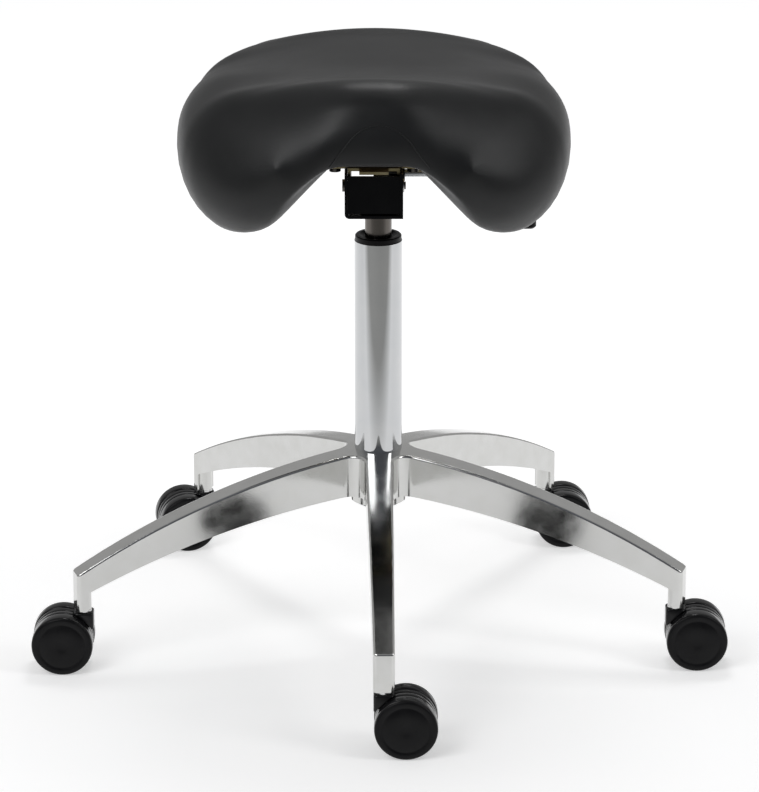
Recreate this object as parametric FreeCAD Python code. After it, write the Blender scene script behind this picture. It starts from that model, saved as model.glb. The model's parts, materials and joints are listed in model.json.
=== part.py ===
import FreeCAD, Part
import os
from math import sin, cos, tan, radians, degrees, atan2, sqrt, pi

os.makedirs("parts", exist_ok=True)
V = FreeCAD.Vector

# Saddle stool on a five-legged base. Millimetres, floor at Z 0, column axis on Z, front at -Y.

# Base casting
CASTOR_CIRCLE = 325.5          # radius of the circle through the five castor stems
BASE_YAW = 1.0                 # the base stands turned this much from the seat, degrees
LEG_ROOT_HALF = 14.7           # half width of a leg, taken back to the column axis
LEG_END_HALF = 10.8            # half width of a leg at its end
LEG_END_OVER = 8.8             # leg end beyond the stem axis
LEG_END_ROUND = 4.5
CROTCH_ROUND = 17.0            # fillet between two legs
LEG_TOP = [(20.0, 208.2), (197.0, 168.0), (334.3, 106.6)]
LEG_UNDER = [(36.0, 161.0), (176.0, 136.0), (324.5, 85.0)]
LEG_WALL = 4.0
LEG_SKIN = 5.5
LEG_EDGE_ROUND = 2.3           # rounding of the leg's top edges
RIB_AT = [100.0, 178.0, 254.0]
RIB_WIDE = 3.0
POST_FOOT = 66.0               # underside of the leg's end post
BOSS_R = 8.3
HUB_R = 29.0
HUB_FOOT = 150.5
TAPER = 0.025                  # column and cylinder tapers, radius over height

# Castors
WHEEL_R = 32.0
WHEEL_WIDE = 16.5
WHEEL_EDGE = 2.0
HOOD_WIDE = 17.0
HOOD_R = 31.4
WHEEL_GAP = 0.4
TRAIL = 22.0
NECK = 21.0
NECK_TOP = 63.9
NECK_BOTTOM = 46.0
AXLE_R = 4.0
STEM_R = 5.5
STEM_LOW_R = 5.0
STEM_LOW_END = 47.3
COLLAR_R = 8.5
CAP = 2.4                      # closed outer face of a wheel
GROOVE_WIDE = 1.8              # groove in the axle and, in it, the wheel's bead
BEAD = 1.0
GRIP_Z = POST_FOOT + 14.0      # spring ring in the stem's groove
GRIP_HIGH = 4.0
RUN = 0.06                     # radial clearance of a running fit
SNUG = 0.03                    # radial clearance where two pieces stand still together
FACE = 0.05                    # gap between two flat faces that bear on each other
CLEAR = 0.3                    # gap between pieces that pass each other

# Gas lift
COLUMN_R = 25.0
COLUMN_WALL = 2.0
COLUMN_TOP = 436.0
COLUMN_FOOT = 147.0
TAPER_TOP = 209.0              # the column's foot tapers below this height
BUSH_LONG = 64.0
BUSH_COLLAR_R = 24.2
BUSH_COLLAR_TOP = COLUMN_TOP + 6.0
CYL_R = 14.0
CYL_WALL = 1.5
CYL_FOOT = COLUMN_FOOT + 29.0
CYL_TOP = COLUMN_TOP + 63.0    # the cylinder's top with the seat at its lowest
CYL_TAPER_FROM = CYL_TOP - 29.0
CYL_PLUG = CYL_TOP - 19.0
RACE = 2.0                     # thrust bearing under the piston rod
RACE_R = 12.0
BEARING = 5.0
BEARING_R = 11.5
WASHER = 1.8                   # washer and spring clip under the column
WASHER_R = 10.0
CLIP = 1.2
CLIP_R = 8.0
BUFFER_R = 12.0                # rubber buffer that stops the cylinder
SEAL_LONG = 18.0
PISTON_LONG = 10.0
ROD_R = 5.0
ROD_TIP_R = 4.0
ROD_SHOULDER = COLUMN_FOOT + 12.0
ROD_FOOT = COLUMN_FOOT - 6.5
ROD_TOP = COLUMN_TOP - 20.0
VALVE_R = 3.0
VALVE_TOP = CYL_TOP + 4.6
VALVE_LOW = CYL_TOP - 13.0
VALVE_HEAD = 3.0
VALVE_HEAD_R = 5.0

# Mechanism under the seat
MECH_X = -4.5                  # the box and the seat stand this much to the left of the column
BOX_HALF = 30.0
BOX_WALL = 3.0
BOX_FRONT = -55.0
BOX_BACK = 75.0
BOX_LOW = CYL_TOP - 25.0
BOX_TOP = BOX_LOW + 48.0
BOX_BEND = 5.0
SOCKET_R = 19.0
SOCKET_HIGH = 20.0
GAS_BUSH_R = 6.5
PLATE_INSET = 1.5
PIVOT = (-38.0, BOX_TOP - 17.0)    # Y and Z of the seat's hinge
LOCK = (56.0, BOX_TOP - 12.0)      # Y and Z of the tilt lock's bolt
BOLT_R = 4.0
PIN_HEAD = 2.5
PIN_HEAD_R = 6.5
SLEEVE_R = 7.0                 # sleeves between the ears, and the pin's clip
CLIP_THICK = 1.2
NUT_LONG = 6.0
NUT_CORNER = 7.5
HEAD_LONG = 8.0                # the tilt bolt's head, which carries the lever
HEAD_R = 8.0
TILT_MOST = 10.0
EAR_THICK = 3.0
EAR_GAP = 0.3
EAR_HALF = 8.0                 # half width of an ear round its hole
LEVER_R = 4.0
GAS_LEVER_Z = VALVE_TOP + LEVER_R + 0.2
LEVER_SLOPE = 46.0             # slope of a lever under the flap, degrees
LEVER_BEND_R = 14.0
LEVER_OUT = 150.0              # where a lever rod ends, from the column's axis
GAS_CORNER = 58.0
GAS_DROP = 52.8                # from the lever's inner end down to its grip
TILT_CORNER = 14.0             # first straight of the tilt lever, from the box
TILT_DROP = 70.0
GRIP_OVER = 14.0               # grip beyond the rod's end
GRIP_LONG = 40.0
GRIP_WIDE = 22.0
GRIP_THICK = 10.0

# Seat
PLATE_LOW = BOX_TOP + 0.3
PLATE_THICK = 3.0
PLATE_HALF = 50.0
PLATE_BACK = 112.0
NOSE_HALF = 15.0
NOSE_FRONT = -60.0             # front of the plate's yellow nose, seen over the box
BOARD_LOW = PLATE_LOW + PLATE_THICK + 0.3
BOARD_THICK = 18.0
BOARD_HALF = 56.0
BOARD_FRONT = -42.0
BOARD_BACK = 115.0
SEAT_BOLT_X = 40.0
SEAT_BOLT_Y = [-30.0, 85.0]
SEAT_BOLT_R = 3.0
NUT_R = 4.2                    # tee nut in the board
NUT_FLANGE_R = 9.0
NUT_FLANGE = 1.2
NUT_DEEP = 10.0
POCKET = 0.3                   # room round the board in the cushion

PANEL_HALF = 46.0              # the inset panel at the saddle's front
PANEL_HIGH = 71.0
PANEL_DEEP = 1.6

# Saddle sections from front to back, with heights counted from the top of the box: Y, top, half width,
# height of the widest point, shoulder radius, flap foot X, flap foot height, flap foot radius,
# height of the arch, slope of the inner face in degrees, toe radius
ARCH_FLAT = 30.0               # half width of the flat crown of the arch
SADDLE = [
    (-150, 76, 100, 30, 30, 74, 11, 34, 34, 38, 8),
    (-143, 92, 130, 23, 45, 97, -5, 38, 32, 42, 14),
    (-130, 105, 156, 16, 60, 108, -25, 54, 30, 46, 20),
    (-112, 112, 175, 11, 74, 115, -42, 66, 27, 48, 28),
    (-80, 107, 192, 14, 78, 134, -55, 46, 24, 50, 34),
    (-45, 101, 200, 19, 70, 138, -59, 44, 21, 50, 34),
    (0, 98, 203, 24, 67, 146, -44, 40, 19, 44, 32),
    (45, 101, 202, 23, 64, 148, -36, 36, 19, 39, 28),
    (80, 104, 195, 25, 60, 146, -30, 34, 19, 35, 26),
    (108, 106, 183, 35, 54, 138, -20, 29, 20, 31, 24),
    (130, 108, 160, 40, 53, 122, -4, 22, 24, 26, 16),
    (147, 97, 136, 50, 39, 106, 12, 15, 28, 18, 11),
    (156, 76, 110, 54, 18, 90, 29, 8, 34, 7, 6),
]
SECTIONS_BETWEEN = 1           # more sections, eased between each two given ones


# Shapes used again and again

def rod(r, z0, z1, x=0.0, y=0.0):
    return Part.makeCylinder(r, z1 - z0, V(x, y, z0))


def ring(r_out, r_in, z0, z1, x=0.0, y=0.0):
    return rod(r_out, z0, z1, x, y).cut(rod(r_in, z0 - 1, z1 + 1, x, y))


def cross_rod(r, x0, x1, at):
    return Part.makeCylinder(r, x1 - x0, V(x0, at[0], at[1]), V(1, 0, 0))


def cross_ring(r_out, r_in, x0, x1, at):
    return cross_rod(r_out, x0, x1, at).cut(cross_rod(r_in, x0 - 1, x1 + 1, at))


def block(x0, x1, y0, y1, z0, z1):
    return Part.makeBox(x1 - x0, y1 - y0, z1 - z0, V(x0, y0, z0))


def turned(points):
    outline = [V(r, 0, z) for r, z in points]
    face = Part.Face(Part.makePolygon(outline + [outline[0]]))
    return face.revolve(V(0, 0, 0), V(0, 0, 1), 360)


def side_plate(points, x0, x1):
    outline = [V(x0, y, z) for y, z in points]
    face = Part.Face(Part.makePolygon(outline + [outline[0]]))
    return face.extrude(V(x1 - x0, 0, 0))


def bent_rod(r, points, bend):
    pieces = []
    start = V(*points[0])
    for i in range(1, len(points) - 1):
        corner = V(*points[i])
        into = (corner - V(*points[i - 1])).normalize()
        out = (V(*points[i + 1]) - corner).normalize()
        half = into.getAngle(out) / 2
        back = bend * tan(half)
        a = corner - into * back
        b = corner + out * back
        middle = (out - into).normalize()
        mid = corner + middle * (bend / cos(half) - bend)
        pieces.append(Part.makeLine(start, a))
        pieces.append(Part.Arc(a, mid, b).toShape())
        start = b
    pieces.append(Part.makeLine(start, V(*points[-1])))
    wire = Part.Wire(pieces)
    first = (V(*points[1]) - V(*points[0])).normalize()
    profile = Part.Wire([Part.makeCircle(r, V(*points[0]), first)])
    return wire.makePipeShell([profile], True, False)


def place(shape, angle, x=0.0, y=0.0):
    copy = shape.copy()
    copy.rotate(V(0, 0, 0), V(0, 0, 1), angle)
    copy.translate(V(x, y, 0))
    return copy


def save(name, shape):
    shape.exportStep("parts/" + name + ".step")


# Base: five legs in one casting

def leg_angle(k):
    return -90.0 + BASE_YAW + 72.0 * k


def star_outline(inset):
    end = CASTOR_CIRCLE + LEG_END_OVER - inset
    lean = atan2(LEG_ROOT_HALF - LEG_END_HALF, CASTOR_CIRCLE + LEG_END_OVER)
    root = LEG_ROOT_HALF - inset / cos(lean)
    crotch = CROTCH_ROUND + inset
    corner = LEG_END_ROUND - inset
    centre = (crotch + root * cos(lean)) / sin(radians(36) + lean)
    edges = []
    for k in range(5):
        a = radians(leg_angle(k))

        def at(along, across):
            return V(along * cos(a) - across * sin(a), along * sin(a) + across * cos(a), 0)

        def crotch_points(side):
            cx = centre * cos(radians(36))
            cy = side * centre * sin(radians(36))
            tangent = at(cx - crotch * sin(lean), cy - side * crotch * cos(lean))
            low = at(cx - crotch * cos(radians(36)), cy - side * crotch * sin(radians(36)))
            return tangent, low

        ex = end - corner
        ey = (root * cos(lean) - corner - ex * sin(lean)) / cos(lean)
        right, _ = crotch_points(-1)
        left, low = crotch_points(1)
        p1 = at(ex + corner * sin(lean), -ey - corner * cos(lean))
        m1 = at(ex + corner * cos(radians(43)), -ey - corner * sin(radians(43)))
        p2 = at(end, -ey)
        p3 = at(end, ey)
        m3 = at(ex + corner * cos(radians(43)), ey + corner * sin(radians(43)))
        p4 = at(ex + corner * sin(lean), ey + corner * cos(lean))
        b = radians(leg_angle(k) + 72.0)
        cx = centre * cos(radians(36))
        cy = -centre * sin(radians(36))
        tx = cx - crotch * sin(lean)
        ty = cy + crotch * cos(lean)
        following = V(tx * cos(b) - ty * sin(b), tx * sin(b) + ty * cos(b), 0)
        edges.append(Part.makeLine(right, p1))
        edges.append(Part.Arc(p1, m1, p2).toShape())
        edges.append(Part.makeLine(p2, p3))
        edges.append(Part.Arc(p3, m3, p4).toShape())
        edges.append(Part.makeLine(p4, left))
        edges.append(Part.Arc(left, low, following).toShape())
    return Part.Face(Part.Wire(edges))


def leg_round():
    over = CASTOR_CIRCLE + LEG_END_OVER
    top = [V(r, 0, z) for r, z in LEG_TOP]
    under = [V(r, 0, z) for r, z in LEG_UNDER]
    post = under[2].x
    edges = [
        Part.Arc(top[0], top[1], top[2]).toShape(),
        Part.makeLine(top[2], V(over, 0, POST_FOOT)),
        Part.makeLine(V(over, 0, POST_FOOT), V(post, 0, POST_FOOT)),
        Part.makeLine(V(post, 0, POST_FOOT), under[2]),
        Part.Arc(under[2], under[1], under[0]).toShape(),
        Part.makeLine(under[0], V(HUB_R, 0, under[0].z)),
        Part.makeLine(V(HUB_R, 0, under[0].z), V(HUB_R, 0, HUB_FOOT)),
        Part.makeLine(V(HUB_R, 0, HUB_FOOT), V(top[0].x, 0, HUB_FOOT)),
        Part.makeLine(V(top[0].x, 0, HUB_FOOT), top[0]),
    ]
    face = Part.Face(Part.Wire(edges))
    return face.revolve(V(0, 0, 0), V(0, 0, 1), 360)


def top_height(r, drop=0.0):
    start, middle, end = [V(x, 0, z - drop) for x, z in LEG_TOP]
    circle = Part.Arc(start, middle, end).toShape().Curve
    return circle.Center.z + sqrt(circle.Radius ** 2 - (r - circle.Center.x) ** 2)


def round_top_edges(star):
    edges = []
    for edge in star.Edges:
        first, last = edge.ParameterRange
        points = [edge.valueAt(first + (last - first) * t) for t in (0.1, 0.5, 0.9)]
        radii = [sqrt(p.x ** 2 + p.y ** 2) for p in points]
        if min(radii) < COLUMN_R:
            continue
        if all(abs(p.z - top_height(r)) < 0.02 for p, r in zip(points, radii)):
            edges.append(edge)
    return star.makeFillet(LEG_EDGE_ROUND, edges)


def leg_pocket_round(r0, r1):
    def height(r):
        return top_height(r, LEG_SKIN)

    mid = (r0 + r1) / 2
    edges = [
        Part.Arc(V(r0, 0, height(r0)), V(mid, 0, height(mid)), V(r1, 0, height(r1))).toShape(),
        Part.makeLine(V(r1, 0, height(r1)), V(r1, 0, POST_FOOT - 20)),
        Part.makeLine(V(r1, 0, POST_FOOT - 20), V(r0, 0, POST_FOOT - 20)),
        Part.makeLine(V(r0, 0, POST_FOOT - 20), V(r0, 0, height(r0))),
    ]
    face = Part.Face(Part.Wire(edges))
    return face.revolve(V(0, 0, 0), V(0, 0, 1), 360)


def pocket_plan():
    end = CASTOR_CIRCLE
    half0 = LEG_ROOT_HALF - LEG_WALL
    half1 = LEG_END_HALF - LEG_WALL
    shapes = []
    for k in range(5):
        a = radians(leg_angle(k))
        corners = [(0, -half0), (end, -half1), (end, half1), (0, half0)]
        points = [V(x * cos(a) - y * sin(a), x * sin(a) + y * cos(a), 0) for x, y in corners]
        face = Part.Face(Part.makePolygon(points + [points[0]]))
        face.translate(V(0, 0, POST_FOOT - 20))
        shapes.append(face.extrude(V(0, 0, LEG_TOP[0][1])))
    return shapes


def castor_places():
    places = []
    for k in range(5):
        a = radians(leg_angle(k))
        places.append((CASTOR_CIRCLE * cos(a), CASTOR_CIRCLE * sin(a)))
    return places


SOCKET_TOP = POST_FOOT + 24.0

plan = star_outline(0.0)
plan.translate(V(0, 0, POST_FOOT - 10))
star = round_top_edges(plan.extrude(V(0, 0, LEG_TOP[0][1])).common(leg_round()))
bosses = [rod(BOSS_R, POST_FOOT, SOCKET_TOP + 6, x, y) for x, y in castor_places()]
pocket_ends = [HUB_R + 5.0] + RIB_AT + [CASTOR_CIRCLE - 12.0]
pockets = []
for i in range(len(pocket_ends) - 1):
    inner = pocket_ends[i] + (RIB_WIDE if i else 0.0)
    body = leg_pocket_round(inner, pocket_ends[i + 1])
    for wedge in pocket_plan():
        pockets.append(wedge.common(body))
star = star.cut(Part.makeCompound(pockets))
star = star.fuse(bosses).removeSplitter()

bore_top = TAPER_TOP + 3.0
bore_r = COLUMN_R + SNUG
hub_bore = turned([(0, HUB_FOOT - 1), (bore_r - TAPER * (TAPER_TOP - HUB_FOOT + 1), HUB_FOOT - 1),
                   (bore_r, TAPER_TOP), (bore_r, bore_top), (0, bore_top)])
star = star.cut(hub_bore)
star = star.cut(Part.makeCompound(
    [rod(STEM_R + SNUG, POST_FOOT - 1, SOCKET_TOP, x, y) for x, y in castor_places()]))
save("star_base", star)


# Castors: hood, axle and two wheels turn about the stem, which stands in the leg

def castor_rod(r, y0, y1):
    return Part.makeCylinder(r, y1 - y0, V(TRAIL, y0, WHEEL_R), V(0, 1, 0))


def make_hood():
    neck = block(-NECK / 2, NECK / 2, -NECK / 2, NECK / 2, NECK_BOTTOM, NECK_TOP)
    upright = [e for e in neck.Edges if abs(e.Vertexes[0].Z - e.Vertexes[1].Z) > 1]
    neck = neck.makeFillet(4.0, upright)
    neck = neck.cut(castor_rod(WHEEL_R + 1.3, -NECK, NECK))
    disc = castor_rod(HOOD_R, -HOOD_WIDE / 2, HOOD_WIDE / 2)
    web = block(-NECK / 2 + 1, NECK / 2, -HOOD_WIDE / 2, HOOD_WIDE / 2, NECK_BOTTOM, NECK_TOP - 2)
    hood = neck.fuse([disc, web.common(castor_rod(WHEEL_R + 4, -NECK, NECK))]).removeSplitter()
    hood = hood.cut(castor_rod(AXLE_R + SNUG, -NECK, NECK))
    return hood.cut(rod(STEM_LOW_R + RUN, STEM_LOW_END - 0.1, NECK_TOP + 1))


WHEEL_IN = HOOD_WIDE / 2 + WHEEL_GAP
WHEEL_OUT = WHEEL_IN + WHEEL_WIDE
AXLE_HALF = WHEEL_OUT - CAP - 0.3
GROOVE_IN = WHEEL_OUT - CAP - 4.0


def wheel_outline():
    bore = AXLE_R + RUN
    bead0 = GROOVE_IN + (GROOVE_WIDE - BEAD) / 2
    cap = WHEEL_OUT - CAP
    return [
        (0, WHEEL_OUT), (WHEEL_R - WHEEL_EDGE, WHEEL_OUT), (WHEEL_R, WHEEL_OUT - WHEEL_EDGE),
        (WHEEL_R, WHEEL_IN + 1), (WHEEL_R - 1, WHEEL_IN), (WHEEL_R - 4, WHEEL_IN),
        (WHEEL_R - 4, cap), (8.0, cap), (8.0, WHEEL_IN), (bore, WHEEL_IN),
        (bore, bead0), (bore - 0.3, bead0), (bore - 0.3, bead0 + BEAD), (bore, bead0 + BEAD),
        (bore, cap), (0, cap),
    ]


def make_wheel(side):
    wheel = turned(wheel_outline())
    wheel.rotate(V(0, 0, 0), V(1, 0, 0), -90 * side)
    wheel.translate(V(TRAIL, 0, WHEEL_R))
    return wheel


def make_axle():
    axle = castor_rod(AXLE_R, -AXLE_HALF, AXLE_HALF)
    grooves = []
    for low in (GROOVE_IN, -GROOVE_IN - GROOVE_WIDE):
        cutter = castor_rod(AXLE_R + 1, low, low + GROOVE_WIDE)
        grooves.append(cutter.cut(castor_rod(AXLE_R - 0.6, low - 1, low + GROOVE_WIDE + 1)))
    return axle.cut(Part.makeCompound(grooves))


def make_stem():
    stem = rod(STEM_R, POST_FOOT, SOCKET_TOP - 1)
    stem = stem.cut(ring(STEM_R + 1, STEM_R - 1.0, GRIP_Z - 0.2, GRIP_Z + GRIP_HIGH + 0.2))
    stem = stem.fuse([rod(COLLAR_R, POST_FOOT - 2, POST_FOOT), rod(STEM_LOW_R, STEM_LOW_END, POST_FOOT - 1)])
    return stem.removeSplitter()


def make_grip_ring():
    grip = ring(STEM_R, STEM_R - 0.95, GRIP_Z, GRIP_Z + GRIP_HIGH)
    return grip.cut(block(0, 10, -1.5, 1.5, GRIP_Z - 1, GRIP_Z + GRIP_HIGH + 1))


CASTOR_NAMES = ["front", "front_right", "rear_right", "rear_left", "front_left"]
CASTOR_TURN = [0.0, 0.0, 3.0, 191.0, 180.0]     # direction of trail, degrees from +X

hood = make_hood()
wheel_a = make_wheel(-1)
wheel_b = make_wheel(1)
axle = make_axle()
stem = make_stem()
grips = []
for name, turn, (x, y) in zip(CASTOR_NAMES, CASTOR_TURN, castor_places()):
    save("castor_hood_" + name, place(hood, turn, x, y))
    save("castor_wheel_a_" + name, place(wheel_a, turn, x, y))
    save("castor_wheel_b_" + name, place(wheel_b, turn, x, y))
    save("castor_axle_" + name, place(axle, turn, x, y))
    save("castor_stem_" + name, place(stem, turn, x, y))
    grips.append(place(make_grip_ring(), turn, x, y))
save("grip_rings", Part.makeCompound(grips))


# Gas lift: outer column with its guide bush

inner_r = COLUMN_R - COLUMN_WALL
foot_r = COLUMN_R - TAPER * (TAPER_TOP - COLUMN_FOOT)
inner_foot = inner_r - TAPER * (TAPER_TOP - COLUMN_FOOT)
PLATE_TOP = COLUMN_FOOT + 3.0
column = turned([
    (ROD_TIP_R + RUN, COLUMN_FOOT), (foot_r, COLUMN_FOOT), (COLUMN_R, TAPER_TOP), (COLUMN_R, COLUMN_TOP),
    (inner_r, COLUMN_TOP), (inner_r, TAPER_TOP), (inner_foot, PLATE_TOP), (ROD_TIP_R + RUN, PLATE_TOP),
])
save("column_tube", column)

bush_r = inner_r - SNUG
bush_in = CYL_R + RUN
guide = turned([
    (bush_in, COLUMN_TOP - BUSH_LONG), (bush_r, COLUMN_TOP - BUSH_LONG), (bush_r, COLUMN_TOP),
    (BUSH_COLLAR_R, COLUMN_TOP), (BUSH_COLLAR_R, BUSH_COLLAR_TOP - 1), (BUSH_COLLAR_R - 1, BUSH_COLLAR_TOP),
    (CYL_R + 6, BUSH_COLLAR_TOP), (CYL_R + 1.5, BUSH_COLLAR_TOP - 2), (bush_in, BUSH_COLLAR_TOP - 2),
])
save("guide_bush", guide)

LOWER_RACE_TOP = PLATE_TOP + RACE
BEARING_TOP = LOWER_RACE_TOP + BEARING
save("lower_race", ring(RACE_R, ROD_TIP_R + CLEAR, PLATE_TOP, LOWER_RACE_TOP))
save("thrust_bearing", ring(BEARING_R, ROD_TIP_R + 2 * CLEAR, LOWER_RACE_TOP, BEARING_TOP))
save("upper_race", ring(RACE_R, ROD_TIP_R + SNUG, BEARING_TOP + FACE, ROD_SHOULDER))
save("foot_washer", ring(WASHER_R, ROD_TIP_R + CLEAR, COLUMN_FOOT - WASHER, COLUMN_FOOT))
CLIP_TOP = COLUMN_FOOT - WASHER - FACE
clip_ring = ring(CLIP_R, ROD_TIP_R - 0.9, CLIP_TOP - CLIP, CLIP_TOP)
clip_ring = clip_ring.cut(block(0, 10, -2.2, 2.2, CLIP_TOP - CLIP - 1, CLIP_TOP + 1))
save("retaining_clip", clip_ring)

groove = 1.4
piston_rod = rod(ROD_R, ROD_SHOULDER, ROD_TOP).fuse(rod(ROD_TIP_R, ROD_FOOT, ROD_SHOULDER + 1))
piston_rod = piston_rod.removeSplitter().cut(
    ring(ROD_TIP_R + 1, ROD_TIP_R - 1, CLIP_TOP - CLIP - 0.1, CLIP_TOP - CLIP - 0.1 + groove))
save("piston_rod", piston_rod)
PISTON_LOW = ROD_TOP - 2 - PISTON_LONG
bore_inside = CYL_R - CYL_WALL
save("piston", ring(bore_inside - RUN, ROD_R + SNUG, PISTON_LOW, ROD_TOP - 2))
save("rubber_buffer", ring(BUFFER_R, ROD_R + SNUG, ROD_SHOULDER, CYL_FOOT - CLEAR))

top_r = CYL_R - TAPER * (CYL_TOP - CYL_TAPER_FROM)
cylinder = turned([
    (0, CYL_FOOT), (CYL_R, CYL_FOOT), (CYL_R, CYL_TAPER_FROM), (top_r, CYL_TOP), (0, CYL_TOP),
])
cylinder = cylinder.cut(turned([
    (0, CYL_FOOT - 1), (10, CYL_FOOT - 1), (10, CYL_FOOT + 1), (bore_inside, CYL_FOOT + 1),
    (bore_inside, CYL_TAPER_FROM - 4), (bore_inside - 1, CYL_PLUG), (VALVE_HEAD_R + 0.2, CYL_PLUG),
    (VALVE_HEAD_R + 0.2, VALVE_LOW + VALVE_HEAD + FACE), (VALVE_R + RUN, VALVE_LOW + VALVE_HEAD + FACE),
    (VALVE_R + RUN, CYL_TOP + 1), (0, CYL_TOP + 1),
]))
save("gas_cylinder", cylinder)
save("rod_seal", ring(bore_inside - SNUG, ROD_R + RUN, CYL_FOOT + 1, CYL_FOOT + 1 + SEAL_LONG))
save("valve_pin", turned([
    (0, VALVE_LOW), (VALVE_HEAD_R, VALVE_LOW), (VALVE_HEAD_R, VALVE_LOW + VALVE_HEAD),
    (VALVE_R, VALVE_LOW + VALVE_HEAD), (VALVE_R, VALVE_TOP - 1), (VALVE_R - 1.2, VALVE_TOP), (0, VALVE_TOP),
]))


# Mechanism: a channel open at the top, with walls left and right of the taper socket

left = MECH_X - BOX_HALF
right = MECH_X + BOX_HALF
outer = block(left, right, BOX_FRONT, BOX_BACK, BOX_LOW, BOX_TOP)
hollow = block(left + BOX_WALL, right - BOX_WALL, BOX_FRONT - 1, BOX_BACK + 1,
               BOX_LOW + BOX_WALL, BOX_TOP + 1)


def round_low_edge(shape, x, z, r):
    bent = [e for e in shape.Edges if abs(e.CenterOfMass.x - x) < 0.1 and abs(e.CenterOfMass.z - z) < 0.1]
    return shape.makeFillet(r, bent)


outer = round_low_edge(outer, left, BOX_LOW, BOX_BEND)
hollow = round_low_edge(hollow, left + BOX_WALL, BOX_LOW + BOX_WALL, BOX_BEND - BOX_WALL)
housing = outer.cut(hollow)
housing = housing.cut(rod(CYL_R + CLEAR, BOX_LOW - 1, BOX_LOW + BOX_WALL + 1))
for at, hole in ((PIVOT, BOLT_R + SNUG), (LOCK, BOLT_R + RUN)):
    housing = housing.cut(cross_rod(hole, left - 1, right + 1, at))
housing = housing.cut(cross_rod(GAS_BUSH_R + SNUG, MECH_X + 10, right + 1, (0, GAS_LEVER_Z)))
save("mechanism_housing", housing)

front0 = BOX_FRONT + PLATE_INSET
save("housing_front_plate", block(left + BOX_WALL + FACE, right - BOX_WALL - FACE, front0, front0 + BOX_WALL,
                                  BOX_LOW + BOX_WALL + 2, BOX_TOP - 3.5))

socket_low = BOX_LOW + BOX_WALL
socket_high = socket_low + SOCKET_HIGH


def cyl_radius(z):
    return CYL_R - TAPER * (z - CYL_TAPER_FROM)


socket = rod(SOCKET_R, socket_low, socket_high).cut(turned([
    (0, socket_low - 1), (cyl_radius(socket_low - 1) + SNUG, socket_low - 1),
    (cyl_radius(socket_high + 1) + SNUG, socket_high + 1), (0, socket_high + 1),
]))
save("taper_socket", socket)

# Pivot and tilt lock
ear_out = BOX_HALF - BOX_WALL - EAR_GAP
ear_in = ear_out - EAR_THICK
pin_end = right + CLIP_THICK + 1.6
pin = cross_rod(BOLT_R, left - 1, pin_end, PIVOT).fuse(cross_rod(PIN_HEAD_R, left - PIN_HEAD, left, PIVOT))
pin = pin.removeSplitter().cut(cross_ring(BOLT_R + 1, BOLT_R - 0.6, right, right + CLIP_THICK + 0.1, PIVOT))
save("pivot_pin", pin)
save("pivot_clip", cross_ring(SLEEVE_R, BOLT_R - 0.55, right + FACE, right + CLIP_THICK, PIVOT).cut(
    block(right - 1, right + 3, PIVOT[0] - 2, PIVOT[0] + 2, PIVOT[1] - SLEEVE_R - 2, PIVOT[1])))
sleeve_half = ear_in - FACE
spacer_half = ear_in - CLEAR
save("pivot_sleeve", cross_ring(SLEEVE_R, BOLT_R + RUN, MECH_X - sleeve_half, MECH_X + sleeve_half, PIVOT))
save("lock_spacer", cross_ring(SLEEVE_R, BOLT_R + RUN, MECH_X - spacer_half, MECH_X + spacer_half, LOCK))
flats = []
for i in range(6):
    a = radians(60 * i)
    flats.append(V(right, LOCK[0] + NUT_CORNER * cos(a), LOCK[1] + NUT_CORNER * sin(a)))
nut = Part.Face(Part.makePolygon(flats + [flats[0]])).extrude(V(NUT_LONG, 0, 0))
save("lock_nut", nut.cut(cross_rod(BOLT_R + RUN, right - 1, right + NUT_LONG + 1, LOCK)))

# Tilt lever: the bolt's round head carries the lever, which bends down under the left flap
bolt = cross_rod(BOLT_R, left - 1, right + NUT_LONG + 1.5, LOCK)
bolt = bolt.fuse(cross_rod(HEAD_R, left - HEAD_LONG, left - CLEAR, LOCK)).removeSplitter()
bolt = bolt.cut(cross_rod(LEVER_R + SNUG, left - HEAD_LONG - 1, left - 3, LOCK))
save("tilt_lock_bolt", bolt)

tilt_low = LOCK[1] - TILT_DROP
tilt_corner = left - TILT_CORNER
tilt_run = TILT_DROP / tan(radians(LEVER_SLOPE))
grip_y = LOCK[0] - 3.0
tilt_lever = bent_rod(LEVER_R, [
    (left - 3.2, LOCK[0], LOCK[1]), (tilt_corner, LOCK[0], LOCK[1]),
    (tilt_corner - tilt_run, grip_y, tilt_low), (-LEVER_OUT, grip_y, tilt_low)], LEVER_BEND_R)
save("tilt_lever", tilt_lever)


def make_grip(x0, x1, y, z, wall):
    grip = block(x0, x1, y - GRIP_WIDE / 2, y + GRIP_WIDE / 2, z - GRIP_THICK / 2, z + GRIP_THICK / 2)
    corner = [e for e in grip.Edges if abs(e.Vertexes[0].Z - e.Vertexes[1].Z) > 1]
    grip = grip.makeFillet(GRIP_WIDE / 3, corner)
    rims = [e for e in grip.Edges if abs(e.Vertexes[0].Z - e.Vertexes[-1].Z) < 0.01]
    grip = grip.makeChamfer(GRIP_THICK / 5, rims)
    return grip.cut(cross_rod(LEVER_R + SNUG, x0 + wall[0], x1 + wall[1], (y, z)))


grip_out = LEVER_OUT + GRIP_OVER
grip_in = grip_out - GRIP_LONG
save("tilt_lever_grip", make_grip(-grip_out, -grip_in, grip_y, tilt_low, (GRIP_OVER, 1)))

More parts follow.
